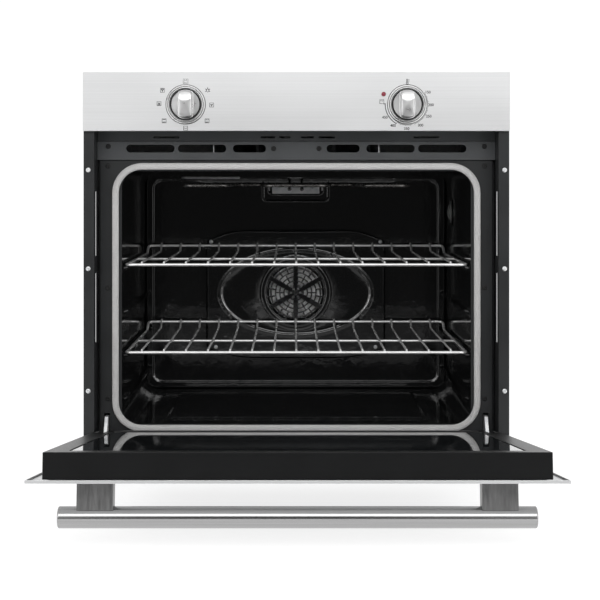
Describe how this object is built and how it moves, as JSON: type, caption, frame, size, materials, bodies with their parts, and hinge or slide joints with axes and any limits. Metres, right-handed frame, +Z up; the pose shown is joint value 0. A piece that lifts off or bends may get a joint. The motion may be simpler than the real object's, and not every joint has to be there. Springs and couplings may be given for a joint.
{
  "type": "built-in wall oven",
  "caption": "Built-in electric wall oven with a drop-down glass door, two knobs, a black enamel cavity with convection fan, and sliding wire racks.",
  "frame": {"origin": "middle of the base's underside, where the oven stands on the cabinet's shelf", "axes": "+Z up, -Y out of the front, towards the cook, +X to the right as seen from the front"},
  "size_m": [0.756, 1.1624, 0.716],
  "materials": {
    "stainless_panel": "brushed",
    "knob_steel": "satin",
    "handle_steel": "brushed",
    "grey_paint": "satin",
    "galvanised_sheet": "galvanised",
    "black_enamel": "glossy",
    "gasket_braid": "woven",
    "insulation_wool": "fibrous",
    "chrome_wire": "polished",
    "zinc_plate": "zinc plated",
    "element_sheath": "oxidised",
    "black_plastic": "moulded",
    "dark_glass": "polished, tinted",
    "lamp_glass": "clear",
    "pilot_red": "translucent"
  },
  "bodies": {
    "cabinet": {"control_panel": "stainless_panel", "bottom_trim": "stainless_panel", "function_bezel": "knob_steel", "temperature_bezel": "knob_steel", "left_flange": "grey_paint", "right_flange": "grey_paint", "front_frame": "grey_paint", "vent_panel": "grey_paint", "upper_vent_strip": "grey_paint", "left_side_panel": "galvanised_sheet", "right_side_panel": "galvanised_sheet", "top_cover": "galvanised_sheet", "rear_cover": "galvanised_sheet", "base_pan": "galvanised_sheet", "air_duct": "galvanised_sheet", "cooling_fan_housing": "galvanised_sheet", "cooling_fan_motor": "galvanised_sheet", "convection_motor": "galvanised_sheet", "terminal_cover": "galvanised_sheet", "thermostat": "galvanised_sheet", "lamp_housing": "galvanised_sheet", "left_hinge_receiver": "galvanised_sheet", "right_hinge_receiver": "galvanised_sheet", "cavity_liner": "black_enamel", "cavity_back": "black_enamel", "fan_baffle": "black_enamel", "fan_grille": "black_enamel", "door_gasket": "gasket_braid", "insulation_blanket": "insulation_wool", "broil_bracket": "zinc_plate", "temperature_probe": "zinc_plate", "left_hinge_arm": "zinc_plate", "right_hinge_arm": "zinc_plate", "broil_element": "element_sheath", "bake_element": "element_sheath", "convection_element": "element_sheath", "function_switch": "black_plastic", "terminal_block": "black_plastic", "lamp_lens": "lamp_glass", "lamp_bulb": "lamp_glass", "pilot_lens": "pilot_red"},
    "door": {"door_skin": "stainless_panel", "door_frame": "grey_paint", "outer_glass": "dark_glass", "middle_glass": "dark_glass", "inner_glass": "dark_glass", "handle_bar": "handle_steel", "left_handle_post": "handle_steel", "right_handle_post": "handle_steel", "left_hinge_channel": "zinc_plate", "right_hinge_channel": "zinc_plate", "left_hinge_pin": "zinc_plate", "right_hinge_pin": "zinc_plate"},
    "function_knob": {"function_knob": "knob_steel"},
    "temperature_knob": {"temperature_knob": "knob_steel"},
    "upper_rack": {"upper_rack": "chrome_wire"},
    "lower_rack": {"lower_rack": "chrome_wire"},
    "convection_fan": {"convection_fan": "zinc_plate"},
    "cooling_fan": {"cooling_fan_wheel": "galvanised_sheet"}
  },
  "joints": [
    {"name": "door_hinge", "type": "hinge", "parent": "cabinet", "child": "door", "pos_m": [0, -0.31175, 0.044], "axis": [1, 0, 0], "range_deg": [-83, 0]},
    {"name": "upper_rack_slide", "type": "slide", "parent": "cabinet", "child": "upper_rack", "axis": [0, -1, 0], "range_m": [0, 0.3]},
    {"name": "lower_rack_slide", "type": "slide", "parent": "cabinet", "child": "lower_rack", "axis": [0, -1, 0], "range_m": [0, 0.3]},
    {"name": "function_knob_turn", "type": "hinge", "parent": "cabinet", "child": "function_knob", "pos_m": [-0.196, -0.32075, 0.6585], "axis": [0, 1, 0], "continuous": true},
    {"name": "temperature_knob_turn", "type": "hinge", "parent": "cabinet", "child": "temperature_knob", "pos_m": [0.196, -0.32075, 0.6585], "axis": [0, 1, 0], "range_deg": [0, 290]},
    {"name": "convection_fan_spin", "type": "hinge", "parent": "cabinet", "child": "convection_fan", "pos_m": [0, 0.16825, 0.2873], "axis": [0, 1, 0], "continuous": true},
    {"name": "cooling_fan_spin", "type": "hinge", "parent": "cabinet", "child": "cooling_fan", "pos_m": [0, 0.12825, 0.6], "axis": [0, 0, 1], "continuous": true}
  ]
}
